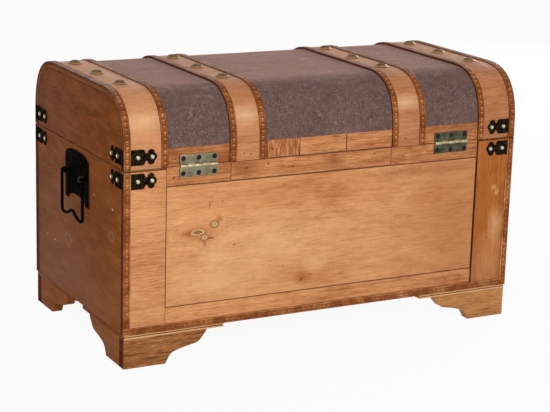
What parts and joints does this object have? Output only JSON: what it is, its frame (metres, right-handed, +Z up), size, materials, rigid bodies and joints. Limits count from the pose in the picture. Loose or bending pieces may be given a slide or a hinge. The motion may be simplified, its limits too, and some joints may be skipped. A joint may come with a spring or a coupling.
{
  "type": "sea chest",
  "caption": "Panelled wooden chest on bracket feet with a hinged canvas-covered lid, wooden straps, leather trims, metal corners and bail handles on the ends.",
  "frame": {"origin": "on the floor under the middle of the chest", "axes": "+Z up, +X along the chest towards its right end as seen from the lock, +Y towards the hinges"},
  "size_m": [0.7368, 0.3878, 0.4323],
  "materials": {
    "pine": "stained pine, orange brown, satin",
    "strip_pine": "stained pine, a little paler, satin",
    "end_pine": "stained pine, reddish brown, satin",
    "inner_pine": "bare pine, pale, matt",
    "leather_trim": "embossed brown leather strip, soft sheen",
    "canvas": "purple-brown canvas, matt, scuffed",
    "bracket_steel": "black-painted stamped steel with bright nail heads",
    "black_iron": "black-painted iron, half matt",
    "aged_brass": "aged brass, greenish grey",
    "steel": "plain steel"
  },
  "bodies": {
    "body": {"back_stile_right": "pine", "back_stile_left": "pine", "back_top_rail": "pine", "back_bottom_rail": "pine", "back_panel": "pine", "body_edging_back": "leather_trim", "front_stile_right": "pine", "front_stile_left": "pine", "front_top_rail": "pine", "front_bottom_rail": "pine", "front_panel": "pine", "body_edging_front": "leather_trim", "end_board_right": "end_pine", "hinge_body_leaf_right": "aged_brass", "handle_plate_right": "black_iron", "end_board_left": "end_pine", "hinge_body_leaf_left": "aged_brass", "handle_plate_left": "black_iron", "bottom_board": "inner_pine", "foot_back_right": "strip_pine", "body_bracket_back_right": "bracket_steel", "foot_back_left": "strip_pine", "body_bracket_back_left": "bracket_steel", "foot_front_right": "strip_pine", "body_bracket_front_right": "bracket_steel", "foot_front_left": "strip_pine", "body_bracket_front_left": "bracket_steel", "lock_case": "black_iron", "lock_escutcheon": "aged_brass", "stay_body_pin": "steel"},
    "lid": {"lid_rail_back": "pine", "lid_rail_front": "pine", "lid_end_right": "end_pine", "hinge_lid_leaf_right": "aged_brass", "lid_end_left": "end_pine", "hinge_lid_leaf_left": "aged_brass", "lid_shell": "inner_pine", "lid_cloth": "canvas", "lid_bracket_back_right": "bracket_steel", "lid_bracket_back_left": "bracket_steel", "lid_bracket_front_right": "bracket_steel", "lid_bracket_front_left": "bracket_steel", "strap_right_end": "strip_pine", "strap_trim_right_end_a": "leather_trim", "strap_trim_right_end_b": "leather_trim", "strap_right": "strip_pine", "strap_trim_right_a": "leather_trim", "strap_trim_right_b": "leather_trim", "strap_left": "strip_pine", "strap_trim_left_a": "leather_trim", "strap_trim_left_b": "leather_trim", "strap_left_end": "strip_pine", "strap_trim_left_end_a": "leather_trim", "strap_trim_left_end_b": "leather_trim", "lock_catch": "black_iron", "stay_lid_pivot": "steel"},
    "bail_right": {"handle_bail_right": "black_iron"},
    "bail_left": {"handle_bail_left": "black_iron"},
    "lock_bolt": {"lock_bolt": "steel"},
    "stay_arm": {"stay_arm": "steel"}
  },
  "joints": [
    {"name": "lid_hinge", "type": "hinge", "parent": "body", "child": "lid", "pos_m": [0, 0.1905, 0.3138], "axis": [-1, 0, 0], "range_deg": [0, 95]},
    {"name": "bail_right_pivot", "type": "hinge", "parent": "body", "child": "bail_right", "pos_m": [0.3632, 0, 0.268], "axis": [0, -1, 0], "range_deg": [-4, 90]},
    {"name": "bail_left_pivot", "type": "hinge", "parent": "body", "child": "bail_left", "pos_m": [-0.3632, 0, 0.268], "axis": [0, 1, 0], "range_deg": [-4, 90]},
    {"name": "lock_bolt_slide", "type": "slide", "parent": "body", "child": "lock_bolt", "axis": [-1, 0, 0], "range_m": [0, 0.008]},
    {"name": "stay_pivot", "type": "hinge", "parent": "lid", "child": "stay_arm", "pos_m": [0.3405, 0.06249, 0.33637], "axis": [1, 0, 0], "range_deg": [0, 48]}
  ],
  "couplings": [
    {"joint": "stay_pivot", "follows": "lid_hinge", "ratio": 0.5}
  ]
}
